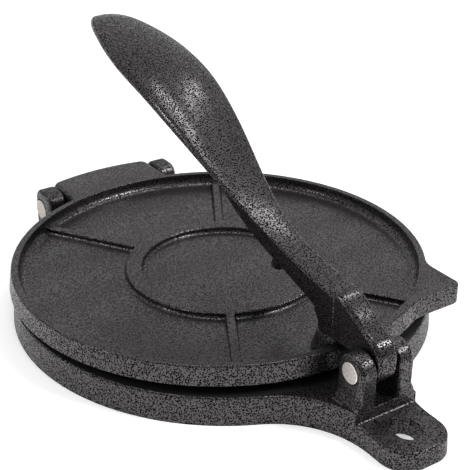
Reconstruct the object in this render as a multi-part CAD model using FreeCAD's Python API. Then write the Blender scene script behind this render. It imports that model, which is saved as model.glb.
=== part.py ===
"""Cast iron tortilla press: a round base, a hinged press plate and a long lever.

Frame, in millimetres: the origin is the centre of the round base on the surface it rests on.
+Z is up, +Y points to the plate's hinge and -Y to the lever's pivot and the hanging tab.
The plate is drawn flat and then turned by its ajar angle, which is how it rests on the base.
"""
import FreeCAD, Part
import math
import os

V = FreeCAD.Vector
X_AXIS = V(1, 0, 0)
Y_AXIS = V(0, 1, 0)
Z_AXIS = V(0, 0, 1)
ORIGIN = V(0, 0, 0)
WHOLE_TURN = 360.0
HALF_TURN = 180.0

# Cutting tools run past the faces they open by this much, and edges are picked out by their height
# within a slack.
overrun = 2.0
pick_slack = 0.1

# Base casting.
base_radius = 102.0
base_thickness = 13.8
wall_draft = 0.9
base_edge_round = 0.9
neck_inset = 18.5
tab_half_width = 15.4
tab_length = 28.3
tab_corner_radius = 12.5
tab_thickness = 8.7
tab_edge_round = 1.0
hang_hole_inset = 15.4
hang_hole_half_width = 6.2
hang_hole_half_length = 8.0

# Underside of the base, which is hollow between its rim, ring and ribs.
base_floor = 5.0
base_rim_width = 6.0
under_ring_radius = 45.0
under_rib_width = 5.0
under_hub_radius = 11.0
under_rib_angles = (45.0, 135.0)

# Two ears at the back of the base, for the plate's hinge pin.
rear_ear_inner = 30.2
rear_ear_width = 10.1
rear_ear_front_wall = 11.3
rear_ear_back_wall = 6.1
rear_ear_top = 23.3
rear_ear_top_radius = 5.8
rear_ear_bottom_radius = 4.0
rear_ear_edge_round = 1.8
rear_arm_length = 42.0

# Clevis at the front of the base, for the lever.
clevis_slot_half = 6.1
clevis_ear_outer = 14.4
clevis_foot_half = 16.2
clevis_foot_height = 15.4
clevis_ledge_height = 18.6
clevis_slot_floor = 14.0
clevis_root = 4.0
clevis_depth = 16.4
clevis_edge_round = 1.0
clevis_side_round = 2.2
clevis_cove_radius = 1.2

# Pins. Each has a shank and two heads that are sunk in the ears.
lever_pin_setback = 14.9
lever_pin_height = 29.4
lever_pin_radius = 4.0
lever_pin_head_radius = 4.9
hinge_pin_setback = 17.5
hinge_pin_height = 11.8
hinge_pin_radius = 4.2
hinge_pin_head_radius = 5.6
pin_head_thickness = 1.3
pin_head_proud = 0.2
pin_head_round = 0.4
head_seat_gap = 0.45
head_seat_shift = 0.3
running_clearance = 0.06

# Press plate, drawn flat.
plate_ajar_angle = 1.31
plate_sink = 0.3
plate_overhang = 0.7
plate_draft = 1.4
plate_height = 9.7
plate_centre_place = 2.8
plate_edge_round = 0.8
recess_depth = 6.15
rim_top_width = 3.5
recess_draft = 0.5
recess_floor_round = 4.0
ring_middle_radius = 44.1
ring_width = 8.2
ring_centre_place = -1.5
ring_height = 2.9
rib_width = 4.1
bead_top_round = 0.7
bead_foot_round = 1.4
rib_angles = (122.0, 59.0, -120.0, -56.0)

# Square lifting tab at the front right of the plate.
lift_tab_side_inset = 22.7
lift_tab_front_inset = 14.7
lift_tab_corner_radius = 5.0
lift_tab_side_blend = 16.0
lift_tab_front_blend = 24.0

# Tongue at the back of the plate, which wraps the hinge pin.
tongue_side_gap = 0.4
tongue_back_wall = 10.4
tongue_crown = 4.0
tongue_plan_corner = 5.0
tongue_front_gap = 0.4
tongue_foot = 1.0
tongue_top_radius = 3.0
tongue_foot_radius = 9.0
tongue_throat_radius = 1.5
tongue_root_inset = 22.0
tongue_lug_width = 5.8
tongue_channel_gap = 1.0

# Boss on the plate that the lever's foot presses.
boss_setback = 28.9
boss_foot_radius = 9.8
boss_top_radius = 6.9
boss_rise = 3.2
boss_edge_round = 0.8

# Lever.
lever_reach = 235.7
lever_rise = 89.3
grip_half_width = 21.0
arm_depth = 11.0
crown_radius = 38.0
shoulder_round = 4.0
low_edge_share = 0.3
foot_half_width = 7.0
foot_setback = 12.9
foot_gap = 0.35
foot_taper = 20.0
foot_taper_round = 30.0
heel_round = 3.0
head_edge_round = 2.0
lug_half_width = 5.3
lug_radius = 7.7
nub_radius = 3.4
nub_length = 14.0
nub_slant = 17.0
nub_end_round = 0.9

# Places that follow from the sizes above, as distances from the base's centre.
lever_pin_place = base_radius + lever_pin_setback
hinge_pin_place = base_radius + hinge_pin_setback
tab_reach = lever_pin_place + clevis_depth / 2 + tab_length
hang_hole_place = tab_reach - hang_hole_inset
rear_ear_front = hinge_pin_place - rear_ear_front_wall
rear_ear_back = hinge_pin_place + rear_ear_back_wall
rear_arm_root = base_radius - rear_arm_length
plate_bottom = base_thickness - plate_sink
plate_bottom_radius = base_radius + plate_overhang
plate_top_radius = plate_bottom_radius - plate_draft
lift_tab_side = plate_top_radius - lift_tab_side_inset
lift_tab_front = plate_top_radius - lift_tab_front_inset
tongue_back = hinge_pin_place + tongue_back_wall
tongue_front = rear_ear_front + tongue_front_gap
tongue_root = base_radius - tongue_root_inset
boss_place = lever_pin_place - boss_setback
foot_front = lever_pin_place - foot_setback

# Stations of the lever from its head to its tip, as shares. The columns are the place along the
# reach, the crown's height in the rise, the half width and the lower half width in the grip's half
# width, the depth in the arm's depth and the shoulder's rounding in the grip's shoulder rounding.
LEVER_STATION_SHARES = (
    (0.095, 0.2648, 0.319, 0.310, 1.318, 0.300),
    (0.114, 0.2712, 0.332, 0.323, 1.327, 0.300),
    (0.157, 0.2838, 0.321, 0.302, 1.181, 0.300),
    (0.199, 0.3008, 0.313, 0.287, 1.079, 0.300),
    (0.241, 0.3233, 0.313, 0.282, 1.018, 0.300),
    (0.284, 0.3531, 0.327, 0.289, 0.995, 0.300),
    (0.326, 0.3921, 0.365, 0.309, 1.000, 0.300),
    (0.369, 0.4412, 0.435, 0.328, 1.027, 0.300),
    (0.411, 0.5010, 0.528, 0.340, 1.060, 0.400),
    (0.458, 0.5774, 0.637, 0.351, 1.088, 0.517),
    (0.517, 0.6819, 0.765, 0.386, 1.101, 0.750),
    (0.581, 0.7864, 0.882, 0.432, 1.089, 1.000),
    (0.644, 0.8713, 0.965, 0.470, 1.060, 1.000),
    (0.717, 0.9383, 1.002, 0.488, 1.010, 1.000),
    (0.793, 0.9795, 0.951, 0.461, 0.934, 1.000),
    (0.869, 0.9986, 0.786, 0.373, 0.818, 1.000),
    (0.924, 1.0022, 0.615, 0.277, 0.697, 0.900),
    (0.963, 0.9922, 0.448, 0.205, 0.555, 0.750),
    (0.982, 0.9821, 0.324, 0.152, 0.445, 0.575),
    (0.994, 0.9698, 0.205, 0.100, 0.318, 0.375),
    (1.000, 0.9574, 0.086, 0.048, 0.155, 0.175),
)

# Top line of the lever's head, from its shoulder down to the front of the lug. The columns are
# the distance behind the pin and the height above it, as shares of the lug's radius.
HEAD_TOP_SHARES = (
    (3.38, 3.13), (2.45, 3.12), (1.93, 2.92), (1.35, 2.55), (0.77, 2.16),
    (0.12, 1.84), (-0.47, 1.53), (-0.87, 1.01), (-1.00, 0.44),
)
HEEL_SHARES = ((4.52, 1.52), (4.10, 0.90))

# Point of the arm's top edge over the nub, as shares of the lever's reach and rise.
NUB_SHARES = (0.284, 0.359)


def line(start, end):
    """A straight edge."""
    return Part.LineSegment(start, end).toShape()


def rounded_wire(corners, place):
    """Close a wire through corners (u, v, radius), each rounded, laid out by place(u, v)."""
    edges = []
    starts = []
    ends = []
    middles = []
    count = len(corners)
    for index, (u, v, radius) in enumerate(corners):
        before = corners[index - 1]
        after = corners[(index + 1) % count]
        to_before = V(before[0] - u, before[1] - v, 0).normalize()
        to_after = V(after[0] - u, after[1] - v, 0).normalize()
        corner = V(u, v, 0)
        if radius == 0:
            starts.append(corner)
            middles.append(None)
            ends.append(corner)
            continue
        half_angle = to_before.getAngle(to_after) / 2
        inward = (to_before + to_after).normalize()
        setback = radius / math.tan(half_angle)
        centre = corner + inward * (radius / math.sin(half_angle))
        starts.append(corner + to_before * setback)
        middles.append(centre - inward * radius)
        ends.append(corner + to_after * setback)
    for index in range(count):
        if middles[index] is not None:
            arc_points = (starts[index], middles[index], ends[index])
            edges.append(Part.Arc(*[place(p.x, p.y) for p in arc_points]).toShape())
        following = starts[(index + 1) % count]
        if (following - ends[index]).Length > Part.Precision.confusion():
            leaving = place(ends[index].x, ends[index].y)
            edges.append(line(leaving, place(following.x, following.y)))
    return Part.Wire(edges)


def plan_prism(corners, low, high):
    """Raise an outline of (x, y, radius) corners from one height to another."""
    wire = rounded_wire(corners, lambda x, y: V(x, y, low))
    return Part.Face(wire).extrude(Z_AXIS * (high - low))


def side_prism(corners, left, right):
    """Run an outline of (y, z, radius) corners across the press, from one x to another."""
    wire = rounded_wire(corners, lambda y, z: V(left, y, z))
    return Part.Face(wire).extrude(X_AXIS * (right - left))


def cross_cylinder(radius, place, height, left, right):
    """A round bar or bore along X at a place (y, z)."""
    return Part.makeCylinder(radius, right - left, V(left, place, height), X_AXIS)


def edges_near_height(shape, height):
    """Every edge of a shape that lies at one height all along."""
    return [edge for edge in shape.Edges
            if abs(edge.BoundBox.ZMin - height) < pick_slack
            and abs(edge.BoundBox.ZMax - height) < pick_slack]


def short_arc(centre, start, end):
    """The shorter arc about a centre, from one point to another."""
    radius = (start - centre).Length
    middle = centre + (start + end - centre * 2).normalize() * radius
    return Part.Arc(start, middle, end).toShape()


def mirrored(point):
    """The same point on the other side of the press."""
    return V(-point.x, point.y, point.z)


def flare_radius():
    """Radius of the neck's flares, which touch the disc and reach the tab's straight sides."""
    disc = base_radius + wall_draft
    half = tab_half_width + wall_draft
    neck = tab_reach - neck_inset
    return (neck ** 2 - disc ** 2 + half ** 2) / (2 * (disc - half))


def base_outline(inset, height):
    """The base seen from above: disc, flared neck and tab, drawn in by an inset."""
    disc = base_radius + wall_draft - inset
    half = tab_half_width + wall_draft - inset
    flare = flare_radius() + inset
    end = tab_reach + wall_draft - inset
    corner = tab_corner_radius - inset
    flare_place = math.sqrt((disc + flare) ** 2 - (half + flare) ** 2)
    flare_centre = V(half + flare, -flare_place, height)
    disc_touch = V(flare_centre.x, flare_centre.y, 0) * (disc / (disc + flare)) + Z_AXIS * height
    neck_end = V(half, -flare_place, height)
    corner_start = V(half, corner - end, height)
    corner_end = V(half - corner, -end, height)
    corner_centre = V(half - corner, corner - end, height)
    return Part.Wire([
        Part.Arc(disc_touch, V(0, disc, height), mirrored(disc_touch)).toShape(),
        short_arc(mirrored(flare_centre), mirrored(disc_touch), mirrored(neck_end)),
        line(mirrored(neck_end), mirrored(corner_start)),
        short_arc(mirrored(corner_centre), mirrored(corner_start), mirrored(corner_end)),
        line(mirrored(corner_end), corner_end),
        short_arc(corner_centre, corner_end, corner_start),
        line(corner_start, neck_end),
        short_arc(flare_centre, neck_end, disc_touch),
    ])


def base_slab():
    """Disc, neck and tab with drafted walls and rounded top edges."""
    slab = Part.makeLoft([base_outline(0, 0), base_outline(wall_draft, base_thickness)], True, True)
    tab_start = lever_pin_place + clevis_depth / 2
    above_tab = Part.makeBox(
        2 * base_radius, tab_reach, base_thickness,
        V(-base_radius, -tab_start - tab_reach, tab_thickness))
    slab = slab.makeFillet(base_edge_round, edges_near_height(slab, base_thickness))
    slab = slab.cut(above_tab)
    tab_edges = [edge for edge in edges_near_height(slab, tab_thickness)
                 if edge.BoundBox.YMin < -tab_start - overrun]
    return slab.makeFillet(tab_edge_round, tab_edges)


def hanging_hole():
    """Cutter for the oval hole in the tab."""
    reach = hang_hole_half_length
    half = hang_hole_half_width
    corners = [(side * half, -hang_hole_place + end * reach, half)
               for side, end in ((-1, -1), (1, -1), (1, 1), (-1, 1))]
    return plan_prism(corners, -overrun, tab_thickness + overrun)


def underside_hollow():
    """Cutter for the hollow under the base, less the ring, ribs and hub that stand in it."""
    height = base_thickness - base_floor
    hollow = Part.makeCylinder(base_radius - base_rim_width, height)
    ring = Part.makeCylinder(under_ring_radius + under_rib_width / 2, height)
    ring = ring.cut(Part.makeCylinder(under_ring_radius - under_rib_width / 2, height))
    stays = [ring, Part.makeCylinder(under_hub_radius, height)]
    for angle in under_rib_angles:
        rib = Part.makeBox(2 * base_radius, under_rib_width, height,
                           V(-base_radius, -under_rib_width / 2, 0))
        rib.rotate(ORIGIN, Z_AXIS, angle)
        stays.append(rib)
    return hollow.cut(stays[0].fuse(stays[1:]))


def rear_ear(side):
    """One hinge ear with its arm, on the left or right of the tongue."""
    left = rear_ear_inner if side > 0 else -rear_ear_inner - rear_ear_width
    right = left + rear_ear_width
    corners = (
        (rear_ear_front, 0, 0),
        (rear_ear_back, 0, rear_ear_bottom_radius),
        (rear_ear_back, rear_ear_top, rear_ear_top_radius),
        (rear_ear_front, rear_ear_top, rear_ear_top_radius),
    )
    ear = side_prism(corners, left, right)
    upright_edges = [edge for edge in ear.Edges if edge.BoundBox.XLength < rear_ear_edge_round
                     and edge.BoundBox.ZMax > rear_ear_bottom_radius]
    ear = ear.makeFillet(rear_ear_edge_round, upright_edges)
    arm = Part.makeBox(rear_ear_width, rear_ear_front - rear_arm_root + rear_ear_top_radius,
                       base_thickness, V(left, rear_arm_root, 0))
    arm_edges = [edge for edge in arm.Edges if edge.BoundBox.ZMin > base_floor
                 and edge.BoundBox.YLength > rear_ear_width]
    return ear.fuse(arm.makeFillet(rear_ear_edge_round, arm_edges))


def clevis():
    """Foot block with two round-topped ears, cut from one front outline and one side outline."""
    top = lever_pin_height + clevis_depth / 2
    front = -lever_pin_place - clevis_depth / 2
    back = -lever_pin_place + clevis_depth / 2
    ear = [(clevis_slot_half, clevis_slot_floor), (clevis_slot_half, top + overrun),
           (clevis_ear_outer, top + overrun), (clevis_ear_outer, clevis_ledge_height),
           (clevis_foot_half, clevis_foot_height), (clevis_foot_half, clevis_root)]
    far_ear = [(-x, z) for x, z in reversed(ear)]
    points = [V(x, front, z) for x, z in ear + far_ear]
    block = Part.Face(Part.makePolygon(points + points[:1])).extrude(Y_AXIS * clevis_depth)
    sides = ((front, clevis_root, 0), (back, clevis_root, 0),
             (back, top, clevis_depth / 2), (front, top, clevis_depth / 2))
    block = block.common(side_prism(sides, -base_radius, base_radius))
    ledge = clevis_foot_half - clevis_ear_outer
    inner_edges = []
    outer_edges = []
    for edge in block.Edges:
        box = edge.BoundBox
        if box.XLength > ledge + clevis_edge_round or box.ZLength < clevis_edge_round:
            continue
        if max(abs(box.XMin), abs(box.XMax)) < clevis_slot_half + pick_slack:
            inner_edges.append(edge)
        else:
            outer_edges.append(edge)
    block = block.makeFillet(clevis_side_round, outer_edges)
    middles = [edge.BoundBox.Center for edge in inner_edges]
    inner_edges = [edge for edge in block.Edges
                   if any((edge.BoundBox.Center - middle).Length < pick_slack
                          for middle in middles)]
    return block.makeFillet(clevis_edge_round, inner_edges)


def cove(corner, across, along):
    """Hollow fillet of metal in the corner between a wall and a floor, run along the corner."""
    radius = clevis_cove_radius
    wall_end = corner + Z_AXIS * radius
    floor_end = corner + across * radius
    centre = wall_end + across * radius
    hollow = short_arc(centre, floor_end, wall_end)
    edges = [line(corner, floor_end), hollow, line(wall_end, corner)]
    return Part.Face(Part.Wire(edges)).extrude(along)


def clevis_coves():
    """Coves at the front and both sides of the clevis's foot."""
    front = -lever_pin_place - clevis_depth / 2
    half = clevis_foot_half - clevis_edge_round
    length = clevis_depth - clevis_edge_round
    coves = [cove(V(-half, front, tab_thickness), -Y_AXIS, X_AXIS * 2 * half)]
    for side in (-1, 1):
        corner = V(side * clevis_foot_half, front + clevis_depth, base_thickness)
        coves.append(cove(corner, X_AXIS * side, -Y_AXIS * length / 2))
    return coves


def pin_seats(place, height, shank_radius, head_radius, outer):
    """Cutters for one pin: its bore and the sunk seats for its heads, a little off centre."""
    bore = cross_cylinder(shank_radius, place, height, -outer - overrun, outer + overrun)
    seats = []
    depth = pin_head_thickness - pin_head_proud
    for side in (-1, 1):
        left = outer - depth if side > 0 else -outer - overrun
        seats.append(cross_cylinder(head_radius + head_seat_gap, place - head_seat_shift,
                                    height + head_seat_shift, left, left + depth + overrun))
    return [bore] + seats


def base_plate():
    """The whole base casting."""
    rear_outer = rear_ear_inner + rear_ear_width
    body = base_slab().fuse([rear_ear(-1), rear_ear(1), clevis()] + clevis_coves())
    cutters = [underside_hollow(), hanging_hole()]
    cutters += pin_seats(hinge_pin_place, hinge_pin_height, hinge_pin_radius,
                         hinge_pin_head_radius, rear_outer)
    cutters += pin_seats(-lever_pin_place, lever_pin_height, lever_pin_radius,
                         lever_pin_head_radius, clevis_ear_outer)
    return body.cut(cutters)


def headed_pin(place, height, shank_radius, head_radius, outer):
    """A pin along X whose two heads lie in the seats of the ears."""
    end = outer + pin_head_proud
    pin = cross_cylinder(shank_radius, place, height, -end, end)
    for side in (-1, 1):
        left = end - pin_head_thickness if side > 0 else -end
        head = cross_cylinder(head_radius, place, height, left, left + pin_head_thickness)
        face_edge = [edge for edge in head.Edges
                     if abs(edge.BoundBox.XMin - side * end) < pin_head_proud
                     and edge.BoundBox.XLength < pin_head_proud]
        pin = pin.fuse(head.makeFillet(pin_head_round, face_edge))
    return pin.removeSplitter()


def bead_wire(width, height, place):
    """Cross-section of a raised bead with a rounded top and hollow fillets at its feet."""
    half = width / 2
    top = bead_top_round
    foot = bead_foot_round
    near = 1 - math.sqrt(0.5)
    side = []
    for sign in (-1, 1):
        side.append([
            (sign * (half + foot), -overrun), (sign * (half + foot), 0),
            (sign * (half + foot * near), foot * near), (sign * half, foot),
            (sign * half, height - top), (sign * (half - top * near), height - top * near),
            (sign * (half - top), height)])
    edges = []
    for points in side:
        p = [place(u, v) for u, v in points]
        edges.append(line(p[0], p[1]))
        edges.append(Part.Arc(p[1], p[2], p[3]).toShape())
        edges.append(line(p[3], p[4]))
        edges.append(Part.Arc(p[4], p[5], p[6]).toShape())
    left, right = side
    edges.append(line(place(*left[-1]), place(*right[-1])))
    edges.append(line(place(*left[0]), place(*right[0])))
    return Part.Wire(Part.__sortEdges__(edges))


def plate_beads(floor):
    """Ring and four ribs that stand on the floor of the plate's recess."""
    centre = V(0, ring_centre_place, 0)
    ring_wire = bead_wire(ring_width, ring_height, lambda u, v: V(ring_middle_radius + u, 0, v))
    beads = [Part.Face(ring_wire).revolve(ORIGIN, Z_AXIS, WHOLE_TURN)]
    for angle in rib_angles:
        wire = bead_wire(rib_width, ring_height, lambda u, v: V(ring_middle_radius, u, v))
        rib = Part.Face(wire).extrude(X_AXIS * (plate_top_radius - ring_middle_radius + overrun))
        rib.rotate(ORIGIN, Z_AXIS, angle)
        beads.append(rib)
    for bead in beads:
        bead.translate(centre + Z_AXIS * floor)
    return beads


def plate_recess(floor, top):
    """Cutter for the shallow recess in the top of the plate."""
    radius = plate_top_radius - rim_top_width
    centre = V(0, plate_centre_place, floor)
    recess = Part.makeCone(radius - recess_draft, radius, top - floor, centre)
    recess = recess.makeFillet(recess_floor_round, edges_near_height(recess, floor))
    above = Part.makeCylinder(radius, overrun, V(0, plate_centre_place, top))
    return recess.fuse(above)


def plate_boss(floor, top):
    """Tapered round boss at the front of the plate, under the lever's foot."""
    boss = Part.makeCone(boss_foot_radius, boss_top_radius, top + boss_rise - floor,
                         V(0, -boss_place, floor))
    return boss.makeFillet(boss_edge_round, edges_near_height(boss, top + boss_rise))


def plate_outline(radius, height):
    """The plate seen from above, less its tongue: disc and square tab with blended corners."""
    centre = V(0, plate_centre_place, height)
    side = lift_tab_side
    front = -lift_tab_front
    corner = lift_tab_corner_radius
    side_reach = side + lift_tab_side_blend
    side_drop = math.sqrt((radius + lift_tab_side_blend) ** 2 - side_reach ** 2)
    side_centre = V(side_reach, plate_centre_place - side_drop, height)
    front_drop = plate_centre_place - front + lift_tab_front_blend
    front_reach = math.sqrt((radius + lift_tab_front_blend) ** 2 - front_drop ** 2)
    front_centre = V(front_reach, plate_centre_place - front_drop, height)
    side_touch = centre + (side_centre - centre).normalize() * radius
    front_touch = centre + (front_centre - centre).normalize() * radius
    side_line_end = V(side, side_centre.y, height)
    front_line_end = V(front_centre.x, front, height)
    corner_centre = V(side - corner, front + corner, height)
    corner_start = V(side - corner, front, height)
    corner_end = V(side, front + corner, height)
    far_side = centre - (side_touch + front_touch - centre * 2).normalize() * radius
    return Part.Wire([
        Part.Arc(side_touch, far_side, front_touch).toShape(),
        short_arc(front_centre, front_touch, front_line_end),
        line(front_line_end, corner_start),
        short_arc(corner_centre, corner_start, corner_end),
        line(corner_end, side_line_end),
        short_arc(side_centre, side_line_end, side_touch),
    ])


def tongue(low, high):
    """Hinge tongue: a crowned back in plan with a rounded rim, and a hooked outline below."""
    half = rear_ear_inner - tongue_side_gap
    side_back = tongue_back - tongue_crown
    plan = Part.Wire([
        line(V(-half, side_back, 0), V(-half, tongue_root, 0)),
        line(V(-half, tongue_root, 0), V(half, tongue_root, 0)),
        line(V(half, tongue_root, 0), V(half, side_back, 0)),
        Part.Arc(V(half, side_back, 0), V(0, tongue_back, 0), V(-half, side_back, 0)).toShape(),
    ])
    block = Part.Face(plan).extrude(Z_AXIS * high)
    back_corners = [edge for edge in block.Edges
                    if edge.BoundBox.ZLength > low and edge.BoundBox.YMin > rear_ear_front]
    block = block.makeFillet(tongue_plan_corner, back_corners)
    rim_edges = [edge for edge in edges_near_height(block, high)
                 if edge.BoundBox.YMin > tongue_root + pick_slack]
    block = block.makeFillet(tongue_top_radius, rim_edges)
    corners = (
        (tongue_root, low, 0),
        (tongue_front, low, tongue_throat_radius),
        (tongue_front, tongue_foot, tongue_foot_radius),
        (tongue_back, tongue_foot, tongue_foot_radius),
        (tongue_back, high, 0),
        (tongue_root, high, 0),
    )
    return block.common(side_prism(corners, -base_radius, base_radius))


def tongue_channel(low):
    """Cutter that leaves the hinge pin bare below, between the tongue's two end lugs."""
    half = rear_ear_inner - tongue_side_gap - tongue_lug_width
    reach = hinge_pin_radius + tongue_channel_gap
    corners = (
        (rear_ear_front - overrun, -overrun, 0),
        (hinge_pin_place + reach, -overrun, 0),
        (hinge_pin_place + reach, hinge_pin_height + reach, reach),
        (hinge_pin_place - reach, hinge_pin_height + reach, reach),
        (hinge_pin_place - reach, low - overrun, 0),
        (rear_ear_front - overrun, low - overrun, 0),
    )
    return side_prism(corners, -half, half)


def press_plate():
    """The whole press plate, turned ajar about its hinge."""
    low = plate_bottom
    high = plate_bottom + plate_height
    floor = high - recess_depth
    outlines = [plate_outline(plate_bottom_radius, low), plate_outline(plate_top_radius, high)]
    disc = Part.makeLoft(outlines, True, True)
    for height in (low, high):
        disc = disc.makeFillet(plate_edge_round, edges_near_height(disc, height))
    body = disc.fuse([tongue(low, high)])
    body = body.cut([plate_recess(floor, high)])
    inside = Part.makeCylinder(plate_top_radius - rim_top_width / 2, plate_height,
                               V(0, plate_centre_place, low))
    raised = [bead.common(inside) for bead in plate_beads(floor)] + [plate_boss(floor, high)]
    body = body.fuse(raised)
    bore = cross_cylinder(hinge_pin_radius + running_clearance, hinge_pin_place,
                          hinge_pin_height, -base_radius, base_radius)
    body = body.cut([bore, tongue_channel(low)])
    body.rotate(V(0, hinge_pin_place, hinge_pin_height), X_AXIS, -plate_ajar_angle)
    return body


def boss_top_height():
    """Height of the boss's top once the plate lies ajar."""
    level = plate_bottom + plate_height + boss_rise - hinge_pin_height
    turn = math.radians(plate_ajar_angle)
    forward = hinge_pin_place + boss_place + boss_top_radius
    return hinge_pin_height + level * math.cos(turn) + forward * math.sin(turn)


def lever_section(shares):
    """One cross-section of the lever, upright and across the press, with a crowned top."""
    along, rise, wide, low_wide, deep, round_share = shares
    place = -lever_pin_place + along * lever_reach
    top = lever_pin_height + rise * lever_rise
    half = wide * grip_half_width
    low_half = low_wide * grip_half_width
    bottom = top - deep * arm_depth
    edge = round_share * shoulder_round
    low_edge = edge * low_edge_share
    near = 1 - math.sqrt(0.5)
    crown_end = math.asin((half - edge) / (crown_radius - edge))
    crown_centre = top - crown_radius
    shoulder_x = half - edge
    shoulder_z = crown_centre + (crown_radius - edge) * math.cos(crown_end)

    def at(x, z):
        return V(x, place, z)

    def crown(side):
        return at(side * crown_radius * math.sin(crown_end),
                  crown_centre + crown_radius * math.cos(crown_end))

    def shoulder(side, angle):
        return at(side * (shoulder_x + edge * math.sin(angle)), shoulder_z + edge * math.cos(angle))

    middle = (crown_end + math.pi / 2) / 2
    curves = (
        Part.Arc(crown(-1), at(0, top), crown(1)),
        Part.Arc(crown(1), shoulder(1, middle), at(half, shoulder_z)),
        Part.LineSegment(at(half, shoulder_z), at(low_half, bottom + low_edge)),
        Part.Arc(at(low_half, bottom + low_edge),
                 at(low_half - low_edge * near, bottom + low_edge * near),
                 at(low_half - low_edge, bottom)),
        Part.LineSegment(at(low_half - low_edge, bottom), at(low_edge - low_half, bottom)),
        Part.Arc(at(low_edge - low_half, bottom),
                 at(low_edge * near - low_half, bottom + low_edge * near),
                 at(-low_half, bottom + low_edge)),
        Part.LineSegment(at(-low_half, bottom + low_edge), at(-half, shoulder_z)),
        Part.Arc(at(-half, shoulder_z), shoulder(-1, middle), crown(-1)),
    )
    return Part.Wire([curve.toShape() for curve in curves])


def head_profile():
    """Outline of the lever's head from the side: top line, lug round the pin, foot and heel."""
    def at(shares):
        return V(0, -lever_pin_place + shares[0] * lug_radius,
                 lever_pin_height + shares[1] * lug_radius)

    foot_bottom = boss_top_height() + foot_gap
    top_line = [at(shares) for shares in HEAD_TOP_SHARES]
    spline = Part.BSplineCurve()
    spline.interpolate(Points=top_line)
    nose = top_line[-1]
    pin = V(0, -lever_pin_place, lever_pin_height)
    lug_front = V(0, nose.y, lever_pin_height)
    lug_low = pin - Z_AXIS * lug_radius
    lug_end = min(lever_pin_height, foot_bottom)
    lug_back = V(0, pin.y + math.sqrt(lug_radius ** 2 - (pin.z - lug_end) ** 2), lug_end)
    foot_start = V(0, -foot_front, foot_bottom)
    heel_back = at(HEEL_SHARES[1])
    heel_low = V(0, heel_back.y - heel_round, foot_bottom)
    heel_high = V(0, heel_back.y, foot_bottom + heel_round)
    return Part.Wire([
        spline.toShape(),
        line(nose, lug_front),
        short_arc(pin, lug_front, lug_low),
        short_arc(pin, lug_low, lug_back),
        line(lug_back, foot_start),
        line(foot_start, heel_low),
        short_arc(heel_low + Z_AXIS * heel_round, heel_low, heel_high),
        line(heel_high, heel_back),
        line(heel_back, at(HEEL_SHARES[0])),
        line(at(HEEL_SHARES[0]), top_line[0]),
    ])


def lever_head():
    """Foot and lug of the lever, which narrow smoothly into the clevis, with rounded top edges."""
    profile = Part.Face(head_profile())
    profile.translate(-X_AXIS * grip_half_width)
    front = -lever_pin_place - lug_radius - overrun
    narrow = -lever_pin_place + clevis_depth / 2 + overrun / 2
    wide = narrow + foot_taper
    back = wide + lever_reach
    side = [(lug_half_width, front, 0), (lug_half_width, narrow, foot_taper_round),
            (foot_half_width, wide, foot_taper_round), (foot_half_width, back, 0)]
    far_side = [(-x, y, radius) for x, y, radius in reversed(side)]
    high = lever_pin_height + lever_rise
    head = profile.extrude(X_AXIS * 2 * grip_half_width).common(plan_prism(side + far_side, 0, high))
    ledge = foot_half_width - lug_half_width
    nose_height = lever_pin_height + HEAD_TOP_SHARES[-1][1] * lug_radius
    top_edges = [edge for edge in head.Edges
                 if edge.BoundBox.XLength < ledge + pick_slack
                 and edge.BoundBox.ZMin > nose_height - pick_slack
                 and edge.BoundBox.YMax < -lever_pin_place + HEAD_TOP_SHARES[0][0] * lug_radius
                 + pick_slack]
    return head.makeFillet(head_edge_round, top_edges)


def lever_nub():
    """Short round nub under the arm, square to it."""
    nub = Part.makeCylinder(nub_radius, nub_length)
    nub = nub.makeFillet(nub_end_round, edges_near_height(nub, nub_length))
    turned = FreeCAD.Rotation(X_AXIS, HALF_TURN + nub_slant)
    start = V(0, -lever_pin_place + NUB_SHARES[0] * lever_reach,
              lever_pin_height + NUB_SHARES[1] * lever_rise - arm_depth / 2)
    nub.Placement = FreeCAD.Placement(start, turned)
    return nub


def lever_handle():
    """The whole lever: head, arm and broad domed grip."""
    arm = Part.makeLoft([lever_section(shares) for shares in LEVER_STATION_SHARES], True, False)
    body = arm.fuse([lever_head(), lever_nub()])
    bore = cross_cylinder(lever_pin_radius + running_clearance, -lever_pin_place,
                          lever_pin_height, -grip_half_width, grip_half_width)
    return body.cut(bore)


def build():
    """Make every piece, by node name."""
    rear_outer = rear_ear_inner + rear_ear_width
    return {
        "base_plate": base_plate(),
        "press_plate": press_plate(),
        "lever_handle": lever_handle(),
        "hinge_pin": headed_pin(hinge_pin_place, hinge_pin_height, hinge_pin_radius,
                                hinge_pin_head_radius, rear_outer),
        "lever_pin": headed_pin(-lever_pin_place, lever_pin_height, lever_pin_radius,
                                lever_pin_head_radius, clevis_ear_outer),
    }


os.makedirs("parts", exist_ok=True)
for node, shape in build().items():
    shape.exportStep("parts/" + node + ".step")
    box = shape.BoundBox
    print(node, "solids", len(shape.Solids), "valid", shape.isValid(),
          "volume", round(shape.Volume), "box",
          [round(value, 1) for value in (box.XMin, box.XMax, box.YMin, box.YMax, box.ZMin, box.ZMax)])
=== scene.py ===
"""Looks of a cast iron tortilla press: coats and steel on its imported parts, and a plain studio."""

import logging
import math
from dataclasses import dataclass, field
from enum import Enum
from typing import Any

import bpy
from mathutils import Matrix, Vector

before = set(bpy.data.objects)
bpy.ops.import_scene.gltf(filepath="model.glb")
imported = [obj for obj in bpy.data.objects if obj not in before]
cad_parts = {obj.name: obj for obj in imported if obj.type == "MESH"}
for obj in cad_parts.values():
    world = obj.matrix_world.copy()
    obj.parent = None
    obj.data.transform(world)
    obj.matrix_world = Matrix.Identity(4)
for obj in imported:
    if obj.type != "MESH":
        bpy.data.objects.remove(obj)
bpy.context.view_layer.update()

LOG = logging.getLogger("tortilla_press")
MM = 0.001
WHITE = (1.0, 1.0, 1.0, 1.0)

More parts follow.
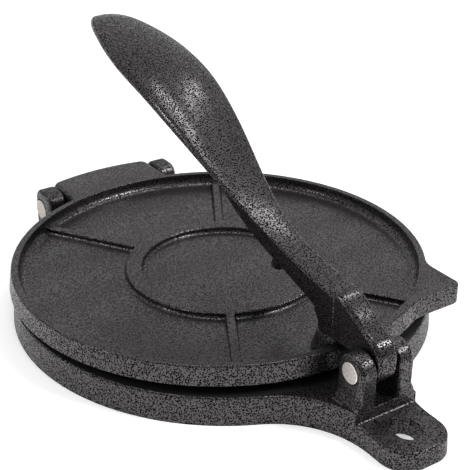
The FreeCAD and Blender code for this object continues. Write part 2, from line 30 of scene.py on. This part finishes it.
Rgb = tuple[float, float, float]
Place = tuple[float, float, float]
Span = tuple[float, float]
Socket = bpy.types.NodeSocket


class Facing(Enum):
    """Which way the worked face of a casting looks."""

    UP = 1.0
    DOWN = -1.0
    NONE = 0.0


class NodeGraph:
    """The shader nodes of one material or room, added and linked by name."""

    bevel_samples = 4

    def __init__(self, owner: bpy.types.Material | bpy.types.World) -> None:
        """Start with no nodes.

        Args:
            owner: The material or room to fill.
        """
        owner.use_nodes = True
        self.owner = owner
        self.tree = owner.node_tree
        self.tree.nodes.clear()

    def add(self, kind: str, inputs: dict[Any, Any] | None = None,
            **settings: Any) -> bpy.types.Node:
        """Add one node.

        Args:
            kind: Shader node type, without its leading "ShaderNode".
            inputs: Value or linked socket for each input, by name or number.
            **settings: Properties set on the node itself.

        Returns:
            The new node.
        """
        node = self.tree.nodes.new("ShaderNode" + kind)
        for key, value in settings.items():
            setattr(node, key, value)
        for key, value in (inputs or {}).items():
            if isinstance(value, Socket):
                self.tree.links.new(value, node.inputs[key])
            else:
                node.inputs[key].default_value = value
        return node

    def compute(self, operation: str, first: Any, second: Any = 0.0) -> Socket:
        """Combine two numbers.

        Args:
            operation: Name of the operation.
            first: First number or socket.
            second: Second number or socket.

        Returns:
            The resulting socket.
        """
        return self.add("Math", {0: first, 1: second}, operation=operation).outputs[0]

    def ramp(self, value: Socket, span: Span, start: float = 0.0, end: float = 1.0,
             smooth: bool = True) -> Socket:
        """Map a number from one range to another.

        Args:
            value: The socket to map.
            span: Values that give the start and the end.
            start: Result at and below the span.
            end: Result at and above the span.
            smooth: Whether the slope eases in and out.

        Returns:
            The resulting socket.
        """
        inputs = {"Value": value, "From Min": span[0], "From Max": span[1],
                  "To Min": start, "To Max": end}
        slope = "SMOOTHSTEP" if smooth else "LINEAR"
        return self.add("MapRange", inputs, interpolation_type=slope).outputs["Result"]

    def mix(self, share: Any, first: Any, second: Any) -> Socket:
        """Mix two numbers.

        Args:
            share: How much of the second number there is.
            first: First number or socket.
            second: Second number or socket.

        Returns:
            The mixed number's socket.
        """
        return self.add("Mix", {0: share, 2: first, 3: second}, data_type="FLOAT").outputs[0]

    def blend(self, share: Any, first: Any, second: Any) -> Socket:
        """Mix two colours.

        Args:
            share: How much of the second colour there is.
            first: First colour or socket.
            second: Second colour or socket.

        Returns:
            The mixed colour's socket.
        """
        ends = [end if isinstance(end, Socket) else (*end, 1.0) for end in (first, second)]
        inputs = {0: share, 6: ends[0], 7: ends[1]}
        return self.add("Mix", inputs, data_type="RGBA").outputs[2]

    def noise(self, place: Socket, scale: float, detail: float,
              roughness: float = 0.5) -> bpy.types.Node:
        """Add soft noise.

        Args:
            place: Where on the surface the point lies.
            scale: Waves per metre.
            detail: How many finer waves are added.
            roughness: How strong the finer waves are.

        Returns:
            The noise node.
        """
        return self.add("TexNoise", {"Vector": place, "Scale": scale, "Detail": detail,
                                     "Roughness": roughness})

    def relief(self, height: Socket, depth: float, edge_round: float,
               strength: float = 1.0) -> Socket:
        """Turn a height into a fine relief over softened edges.

        Args:
            height: Height from 0 to 1.
            depth: Depth in metres that a height of 1 stands for.
            edge_round: Radius in metres by which the edges look rounded.
            strength: Share of the relief that shows.

        Returns:
            The surface normal's socket.
        """
        rounded = self.add("Bevel", {"Radius": edge_round}, samples=self.bevel_samples)
        return self.add("Bump", {"Height": height, "Distance": depth, "Strength": strength,
                                 "Normal": rounded.outputs[0]}).outputs[0]

    def surface(self, inputs: dict[str, Any]) -> bpy.types.Material:
        """Close the material with its shader.

        Args:
            inputs: Value or linked socket for each input of the shader.

        Returns:
            The finished material.
        """
        shader = self.add("BsdfPrincipled", inputs)
        self.add("OutputMaterial", {"Surface": shader.outputs[0]})
        return self.owner


@dataclass(frozen=True)
class HammerCoat:
    """Baked hammered coat: grey with small dark dimples, fainter where the casting faces up.

    Lengths are in metres and colours are linear. The worked face is the smooth pressing face.
    """

    ground: Rgb = (0.0190, 0.0166, 0.0180)
    dimple: Rgb = (0.002, 0.002, 0.002)
    worked: Rgb = (0.012, 0.012, 0.013)
    dark_share: float = 0.55
    tone_span: Span = (0.30, 0.70)
    cloud_scale: float = 34.0
    cloud_detail: float = 3.0
    cloud_roughness: float = 0.55
    grain: float = 0.40 * MM
    grain_waves: float = 0.6
    grain_detail: float = 1.0
    grain_share: float = 0.55
    cell: float = 0.80 * MM
    cell_scatter: float = 0.85
    warp_waves: float = 0.45
    warp_detail: float = 2.0
    warp_share: float = 0.25
    dimple_span: Span = (0.37, 0.53)
    relief: float = 0.022 * MM
    edge_round: float = 0.6 * MM
    sheen: float = 1.0
    sheen_tint: Rgb = (1.0, 0.94, 0.97)
    roughness: float = 0.21
    dimple_roughness: float = 0.75
    worked_roughness: float = 0.42
    top_calm: float = 0.0
    top_span: Span = (0.75, 0.95)
    calm_share: float = 0.75
    worked_face: Facing = Facing.NONE
    worked_span: Span = (0.97, 0.995)
    worked_low: float = 0.0
    worked_high: float = 0.0
    worked_radius: float = 0.0

    def build(self, name: str) -> bpy.types.Material:
        """Make the coat's material.

        Args:
            name: Name of the material.

        Returns:
            The finished material.
        """
        graph = NodeGraph(bpy.data.materials.new(name))
        coordinates = graph.add("TexCoord")
        place = coordinates.outputs["Object"]
        facing = graph.add("SeparateXYZ", {0: coordinates.outputs["Normal"]}).outputs["Z"]
        worked = self._worked_mask(graph, place, facing)
        spots = self._spots(graph, place, facing, worked)
        colour = graph.blend(worked, self._ground(graph, place), self.worked)
        roughness = graph.mix(spots, self.roughness, self.dimple_roughness)
        height = graph.compute("SUBTRACT", 1.0, spots)
        return graph.surface({
            "Base Color": graph.blend(spots, colour, self.dimple),
            "Roughness": graph.mix(worked, roughness, self.worked_roughness),
            "Metallic": spots,
            "Specular IOR Level": self.sheen,
            "Specular Tint": (*self.sheen_tint, 1.0),
            "Normal": graph.relief(height, self.relief, self.edge_round)})

    def _ground(self, graph: NodeGraph, place: Socket) -> Socket:
        """Grey between the dimples, uneven in broad clouds and in a fine grain.

        Args:
            graph: The nodes to add to.
            place: Where on the casting the point lies.

        Returns:
            The colour's socket.
        """
        cloud = graph.noise(place, self.cloud_scale, self.cloud_detail, self.cloud_roughness)
        grain = graph.noise(place, self.grain_waves / self.grain, self.grain_detail)
        uneven = graph.mix(self.grain_share, cloud.outputs["Fac"], grain.outputs["Fac"])
        darker = tuple(channel * self.dark_share for channel in self.ground)
        return graph.blend(graph.ramp(uneven, self.tone_span), darker, self.ground)

    def _spots(self, graph: NodeGraph, place: Socket, facing: Socket, worked: Any) -> Socket:
        """Share of the dark dimples: calmer on top, and none on the worked face.

        Args:
            graph: The nodes to add to.
            place: Where on the casting the point lies.
            facing: How far up the surface looks.
            worked: Share of the worked face.

        Returns:
            The share's socket.
        """
        top = graph.ramp(facing, self.top_span, 0.0, self.top_calm)
        strength = graph.ramp(top, (0.0, 1.0), 1.0, self.calm_share, smooth=False)
        spots = graph.ramp(self._cells(graph, place), self.dimple_span, 1.0, 0.0)
        keep = graph.compute("SUBTRACT", 1.0, worked)
        return graph.compute("MULTIPLY", graph.compute("MULTIPLY", spots, strength), keep)

    def _cells(self, graph: NodeGraph, place: Socket) -> Socket:
        """Distance to the nearest dimple, as a share of the dimples' spacing.

        Args:
            graph: The nodes to add to.
            place: Where on the casting the point lies.

        Returns:
            The distance's socket.
        """
        warp = graph.noise(place, self.warp_waves / self.cell, self.warp_detail)
        shift = graph.add("VectorMath", {0: warp.outputs["Color"], 1: (0.5, 0.5, 0.5)},
                          operation="SUBTRACT")
        moved = graph.add("VectorMath", {0: shift.outputs[0],
                                         "Scale": self.warp_share * self.cell},
                          operation="SCALE")
        warped = graph.add("VectorMath", {0: place, 1: moved.outputs[0]}, operation="ADD")
        return graph.add("TexVoronoi", {"Vector": warped.outputs[0], "Scale": 1.0 / self.cell,
                                        "Randomness": self.cell_scatter}).outputs["Distance"]

    def _worked_mask(self, graph: NodeGraph, place: Socket, facing: Socket) -> Any:
        """Share of the smooth pressing face, from the place and the way the surface looks.

        Args:
            graph: The nodes to add to.
            place: Where on the casting the point lies.
            facing: How far up the surface looks.

        Returns:
            The mask's socket, or 0 where the casting has no such face.
        """
        if self.worked_face is Facing.NONE:
            return 0.0
        axes = graph.add("SeparateXYZ", {0: place})
        height = axes.outputs["Z"]
        across = graph.compute("POWER", axes.outputs["X"], 2.0)
        along = graph.compute("POWER", axes.outputs["Y"], 2.0)
        radius = graph.compute("SQRT", graph.compute("ADD", across, along))
        flat = graph.compute("MULTIPLY", facing, self.worked_face.value)
        mask = graph.ramp(flat, self.worked_span)
        for inside in (graph.compute("GREATER_THAN", height, self.worked_low),
                       graph.compute("LESS_THAN", height, self.worked_high),
                       graph.compute("LESS_THAN", radius, self.worked_radius)):
            mask = graph.compute("MULTIPLY", mask, inside)
        return mask


@dataclass(frozen=True)
class PinSteel:
    """Plated steel with faint turning marks. Lengths are in metres and colours are linear."""

    bright: Rgb = (0.98, 0.94, 0.91)
    dull: Rgb = (0.74, 0.68, 0.65)
    tone_span: Span = (0.30, 0.70)
    roughness: float = 0.30
    rougher: float = 0.10
    smoother: float = 0.05
    rough_span: Span = (0.25, 0.75)
    mark: float = 0.35 * MM
    mark_waves: float = 0.4
    mark_detail: float = 4.0
    mark_roughness: float = 0.6
    mark_stretch: Place = (0.08, 1.0, 1.0)
    mark_depth: float = 0.02 * MM
    mark_strength: float = 0.6
    edge_round: float = 0.25 * MM

    def build(self, name: str) -> bpy.types.Material:
        """Make the steel's material.

        Args:
            name: Name of the material.

        Returns:
            The finished material.
        """
        graph = NodeGraph(bpy.data.materials.new(name))
        place = graph.add("TexCoord").outputs["Object"]
        drawn = graph.add("Mapping", {"Vector": place, "Scale": self.mark_stretch}).outputs[0]
        marks = graph.noise(drawn, self.mark_waves / self.mark, self.mark_detail,
                            self.mark_roughness).outputs["Fac"]
        return graph.surface({
            "Base Color": graph.blend(graph.ramp(marks, self.tone_span), self.dull, self.bright),
            "Roughness": graph.ramp(marks, self.rough_span, self.roughness + self.rougher,
                                    self.roughness - self.smoother),
            "Metallic": 1.0,
            "Normal": graph.relief(marks, self.mark_depth, self.edge_round,
                                   self.mark_strength)})


@dataclass(frozen=True)
class PaleFloor:
    """Matt pale paper under the press, lit faintly from below. The colours are linear."""

    pale: Rgb = (0.93, 0.93, 0.93)
    shade: Rgb = (0.91, 0.91, 0.91)
    patch_scale: float = 3.0
    patch_detail: float = 2.0
    roughness: float = 0.9
    sheen: float = 0.1
    glow: float = 0.40

    def build(self, name: str) -> bpy.types.Material:
        """Make the floor's material.

        Args:
            name: Name of the material.

        Returns:
            The finished material.
        """
        graph = NodeGraph(bpy.data.materials.new(name))
        place = graph.add("TexCoord").outputs["Object"]
        patches = graph.noise(place, self.patch_scale, self.patch_detail).outputs["Fac"]
        return graph.surface({
            "Base Color": graph.blend(patches, self.shade, self.pale),
            "Roughness": self.roughness,
            "Specular IOR Level": self.sheen,
            "Emission Color": WHITE,
            "Emission Strength": self.glow})


def dress_node(node: str, finish: HammerCoat | PinSteel) -> bpy.types.Object:
    """Put a finish on the slots of one CAD part, which keeps its shape.

    Args:
        node: Name of the part's node.
        finish: The finish that it takes.

    Returns:
        The part's object.
    """
    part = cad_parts[node]
    material = finish.build(node + "_finish")
    if not part.material_slots:
        part.data.materials.append(material)
    for slot in part.material_slots:
        slot.material = material
    return part


@dataclass
class Base:
    """Base casting, with a smooth pressing face on its round bed. Lengths are in metres."""

    bed_low: float = 13.75 * MM
    bed_high: float = 13.86 * MM
    bed_radius: float = 101.0 * MM
    roughness: float = 0.33

    def dress(self) -> list[bpy.types.Object]:
        """Coat the base.

        Returns:
            The dressed parts.
        """
        coat = HammerCoat(roughness=self.roughness, worked_face=Facing.UP,
                          worked_low=self.bed_low, worked_high=self.bed_high,
                          worked_radius=self.bed_radius)
        return [dress_node("base_plate", coat)]


@dataclass
class Plate:
    """Top casting: calmer dimples on its back, a smooth pressing face below. In metres."""

    face_low: float = 13.0 * MM
    face_high: float = 20.0 * MM
    face_radius: float = 130.0 * MM
    roughness: float = 0.26
    top_calm: float = 1.0

    def dress(self) -> list[bpy.types.Object]:
        """Coat the plate.

        Returns:
            The dressed parts.
        """
        coat = HammerCoat(roughness=self.roughness, top_calm=self.top_calm,
                          worked_face=Facing.DOWN, worked_low=self.face_low,
                          worked_high=self.face_high, worked_radius=self.face_radius)
        return [dress_node("press_plate", coat)]


@dataclass
class Lever:
    """Lever casting, the glossiest of the three."""

    roughness: float = 0.21

    def dress(self) -> list[bpy.types.Object]:
        """Coat the lever.

        Returns:
            The dressed parts.
        """
        return [dress_node("lever_handle", HammerCoat(roughness=self.roughness))]


@dataclass
class Pins:
    """The two headed pins: the hinge pin is darker, the lever pin bright but satin."""

    hinge_bright: Rgb = (0.50, 0.44, 0.41)
    hinge_dull: Rgb = (0.34, 0.29, 0.27)
    lever_roughness: float = 0.42

    def dress(self) -> list[bpy.types.Object]:
        """Plate both pins.

        Returns:
            The dressed parts.
        """
        hinge_steel = PinSteel(bright=self.hinge_bright, dull=self.hinge_dull)
        lever_steel = PinSteel(roughness=self.lever_roughness)
        return [dress_node("hinge_pin", hinge_steel), dress_node("lever_pin", lever_steel)]


@dataclass
class SoftBox:
    """One soft light of the studio. Lengths are in metres, the turn in radians."""

    name: str
    place: Place
    target: Place
    width: float
    length: float
    power: float
    turn: float = 0.0

    def build(self) -> bpy.types.Object:
        """Make the light and aim it.

        Returns:
            The light's object.
        """
        data = bpy.data.lights.new(self.name, "AREA")
        data.shape = "RECTANGLE"
        data.size = self.width
        data.size_y = self.length
        data.energy = self.power
        light = bpy.data.objects.new(self.name, data)
        bpy.context.scene.collection.objects.link(light)
        aim = (Vector(self.target) - Vector(self.place)).to_track_quat("-Z", "Y")
        light.rotation_euler = (aim.to_matrix() @ Matrix.Rotation(self.turn, 3, "Z")).to_euler()
        light.location = self.place
        return light


def studio_lights() -> list[SoftBox]:
    """Lights round the press: two narrow strips above it draw the pale bands on the grip.

    Returns:
        The lights, in the order in which they are made.
    """
    return [
        SoftBox("light_over_strip", place=(-0.03, 0.09, 1.5), target=(-0.03, 0.09, 0.0),
                width=0.11, length=0.66, power=2.9, turn=0.38),
        SoftBox("light_right_strip", place=(0.66, 0.22, 1.34), target=(0.0, 0.12, 0.09),
                width=0.14, length=0.78, power=2.5, turn=0.33),
        SoftBox("light_front", place=(0.78, -0.82, 1.15), target=(0.0, 0.0, 0.03),
                width=0.4, length=0.4, power=12.0),
        SoftBox("light_left_strip", place=(-1.15, 0.25, 0.90), target=(0.0, 0.0, 0.05),
                width=0.12, length=0.5, power=3.0),
    ]


@dataclass
class Studio:
    """Floor, lights, surroundings and camera. Lengths are in metres, angles in degrees."""

    floor_size: float = 40.0
    surround_dim: float = 0.26
    surround_bright: float = 0.68
    surround_way: Place = (0.35, 0.60, 0.72)
    surround_span: Span = (-0.20, 0.90)
    camera_azimuth: float = -33.87
    camera_elevation: float = 29.41
    camera_distance: float = 0.5919
    camera_target: Place = (0.0, 0.0, 0.020)
    camera_roll: float = 0.60
    focal_pixels: float = 1200.0
    middle_pixels: tuple[float, float] = (221.93, 266.96)
    frame_pixels: float = 470.0
    sensor: float = 36.0
    lights: list[SoftBox] = field(default_factory=studio_lights)

    def build(self) -> None:
        """Make the floor, the surroundings, the lights and the camera."""
        bpy.context.scene.view_settings.view_transform = "Standard"
        self._floor()
        self._surround()
        for light in self.lights:
            light.build()
        self._camera()

    def _floor(self) -> None:
        """Make the pale floor the press stands on."""
        half = self.floor_size / 2
        mesh = bpy.data.meshes.new("studio_floor")
        corners = [(-half, -half, 0), (half, -half, 0), (half, half, 0), (-half, half, 0)]
        mesh.from_pydata(corners, [], [(0, 1, 2, 3)])
        floor = bpy.data.objects.new("studio_floor", mesh)
        bpy.context.scene.collection.objects.link(floor)
        mesh.materials.append(PaleFloor().build("studio_floor_paper"))

    def _surround(self) -> None:
        """Light the whole room softly, most from above and behind the press."""
        graph = NodeGraph(bpy.data.worlds.new("studio_room"))
        way = graph.add("TexCoord").outputs["Generated"]
        share = graph.add("VectorMath", {0: way, 1: self.surround_way}, operation="DOT_PRODUCT")
        strength = graph.ramp(share.outputs["Value"], self.surround_span, self.surround_dim,
                              self.surround_bright, smooth=False)
        background = graph.add("Background", {"Color": WHITE, "Strength": strength})
        graph.add("OutputWorld", {"Surface": background.outputs[0]})
        bpy.context.scene.world = graph.owner

    def _camera(self) -> None:
        """Stand the camera where the photograph was taken from."""
        azimuth = math.radians(self.camera_azimuth)
        elevation = math.radians(self.camera_elevation)
        away = Vector((math.sin(azimuth) * math.cos(elevation),
                       -math.cos(azimuth) * math.cos(elevation),
                       math.sin(elevation)))
        data = bpy.data.cameras.new("photo_camera")
        data.sensor_fit = "HORIZONTAL"
        data.sensor_width = self.sensor
        data.lens = self.sensor * self.focal_pixels / self.frame_pixels
        middle = self.frame_pixels / 2
        data.shift_x = (middle - self.middle_pixels[0]) / self.frame_pixels
        data.shift_y = (self.middle_pixels[1] - middle) / self.frame_pixels
        camera = bpy.data.objects.new("photo_camera", data)
        bpy.context.scene.collection.objects.link(camera)
        aim = (-away).to_track_quat("-Z", "Y").to_matrix()
        roll = Matrix.Rotation(math.radians(self.camera_roll), 3, "Z")
        camera.rotation_euler = (aim @ roll).to_euler()
        camera.location = Vector(self.camera_target) + away * self.camera_distance
        bpy.context.scene.camera = camera


def main() -> None:
    """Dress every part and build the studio."""
    for assembly in (Base(), Plate(), Lever(), Pins()):
        for part in assembly.dress():
            LOG.info("dressed %s, %d faces", part.name, len(part.data.polygons))
    Studio().build()
    LOG.info("built the studio")


if __name__ == "__main__":
    logging.basicConfig(level=logging.INFO)
    main()
